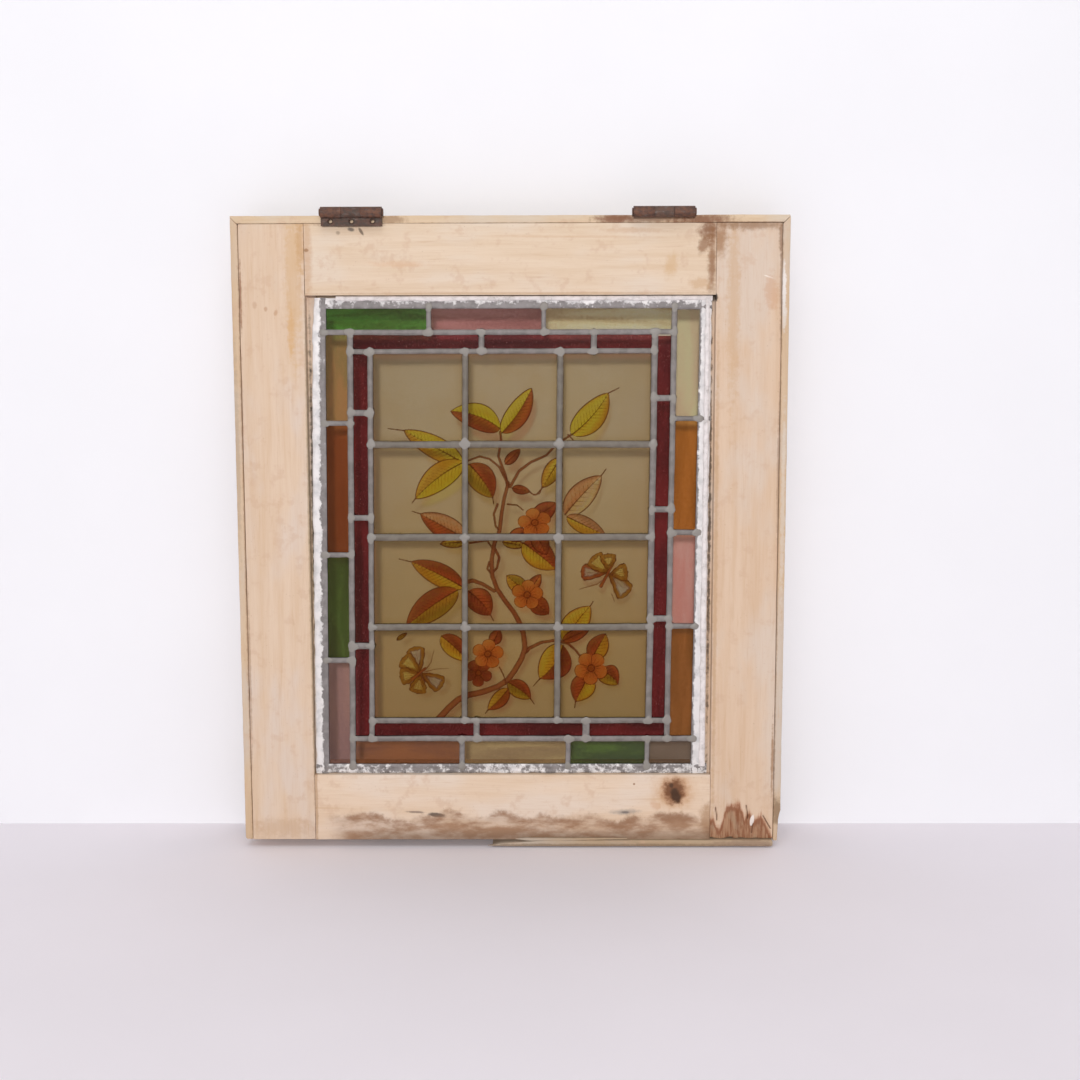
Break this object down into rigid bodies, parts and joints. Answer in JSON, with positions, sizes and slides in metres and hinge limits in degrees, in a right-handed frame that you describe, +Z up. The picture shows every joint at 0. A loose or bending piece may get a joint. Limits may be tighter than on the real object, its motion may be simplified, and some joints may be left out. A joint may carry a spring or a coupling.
{
  "type": "stained glass window",
  "caption": "Leaded stained glass window with painted panes of a flowering branch and butterflies inside coloured borders, in a stripped pine sash with worn iron butt hinges on its top edge.",
  "frame": {"origin": "middle of the sash's top edge, half way through its depth", "axes": "+Z up, +X to the right as seen from the glazed side, +Y from the glazed side through to the room side"},
  "size_m": [0.56, 0.0493, 0.6572],
  "materials": {
    "pine": "stripped and unsealed",
    "pine_edge": "stripped and worn",
    "lead": "dull, mottled",
    "putty": "chalky",
    "rusty_iron": "rusted",
    "green_glass": "streaky",
    "dark_green_glass": "streaky",
    "mauve_glass": "streaky",
    "pink_glass": "streaky",
    "pale_glass": "streaky",
    "amber_glass": "streaky",
    "brown_glass": "streaky",
    "olive_glass": "streaky",
    "grey_glass": "streaky",
    "ruby_glass": "seedy, flashed",
    "painted_glass": "kiln painted"
  },
  "bodies": {
    "sash": {"stile_left": "pine", "stile_right": "pine", "rail_top": "pine", "rail_bottom": "pine", "edge_strip_top": "pine_edge", "edge_strip_left": "pine_edge", "edge_strip_right": "pine_edge", "edge_strip_bottom_broken": "pine_edge", "glass_top_green": "green_glass", "glass_left_green": "dark_green_glass", "glass_bottom_green": "green_glass", "glass_top_mauve": "mauve_glass", "glass_left_mauve": "mauve_glass", "glass_right_pink": "pink_glass", "glass_top_pale": "pale_glass", "glass_right_pale": "pale_glass", "glass_right_amber": "amber_glass", "glass_right_brown": "amber_glass", "glass_left_brown": "brown_glass", "glass_bottom_brown": "brown_glass", "glass_bottom_olive": "olive_glass", "glass_left_olive": "olive_glass", "glass_bottom_grey": "grey_glass", "ruby_top_1": "ruby_glass", "ruby_top_2": "ruby_glass", "ruby_top_3": "ruby_glass", "ruby_right_1": "ruby_glass", "ruby_right_2": "ruby_glass", "ruby_right_3": "ruby_glass", "ruby_right_4": "ruby_glass", "ruby_bottom_1": "ruby_glass", "ruby_bottom_2": "ruby_glass", "ruby_bottom_3": "ruby_glass", "ruby_left_1": "ruby_glass", "ruby_left_2": "ruby_glass", "ruby_left_3": "ruby_glass", "ruby_left_4": "ruby_glass", "painted_pane_1_left": "painted_glass", "painted_pane_1_middle": "painted_glass", "painted_pane_1_right": "painted_glass", "painted_pane_2_left": "painted_glass", "painted_pane_2_middle": "painted_glass", "painted_pane_2_right": "painted_glass", "painted_pane_3_left": "painted_glass", "painted_pane_3_middle": "painted_glass", "painted_pane_3_right": "painted_glass", "painted_pane_4_left": "painted_glass", "painted_pane_4_middle": "painted_glass", "painted_pane_4_right": "painted_glass", "lead_came": "lead", "putty_remnant": "putty", "hinge_left_sash_leaf": "rusty_iron", "hinge_left_pin": "rusty_iron", "hinge_right_sash_leaf": "rusty_iron", "hinge_right_pin": "rusty_iron"},
    "left_loose_leaf": {"hinge_left_loose_leaf": "rusty_iron"},
    "right_loose_leaf": {"hinge_right_loose_leaf": "rusty_iron"}
  },
  "joints": [
    {"name": "left_hinge", "type": "hinge", "parent": "sash", "child": "left_loose_leaf", "pos_m": [-0.1577, -0.0248, 0.0027], "axis": [1, 0, 0], "range_deg": [-270, 0]},
    {"name": "right_hinge", "type": "hinge", "parent": "sash", "child": "right_loose_leaf", "pos_m": [0.1535, -0.0248, 0.0027], "axis": [1, 0, 0], "range_deg": [0, 270]}
  ]
}
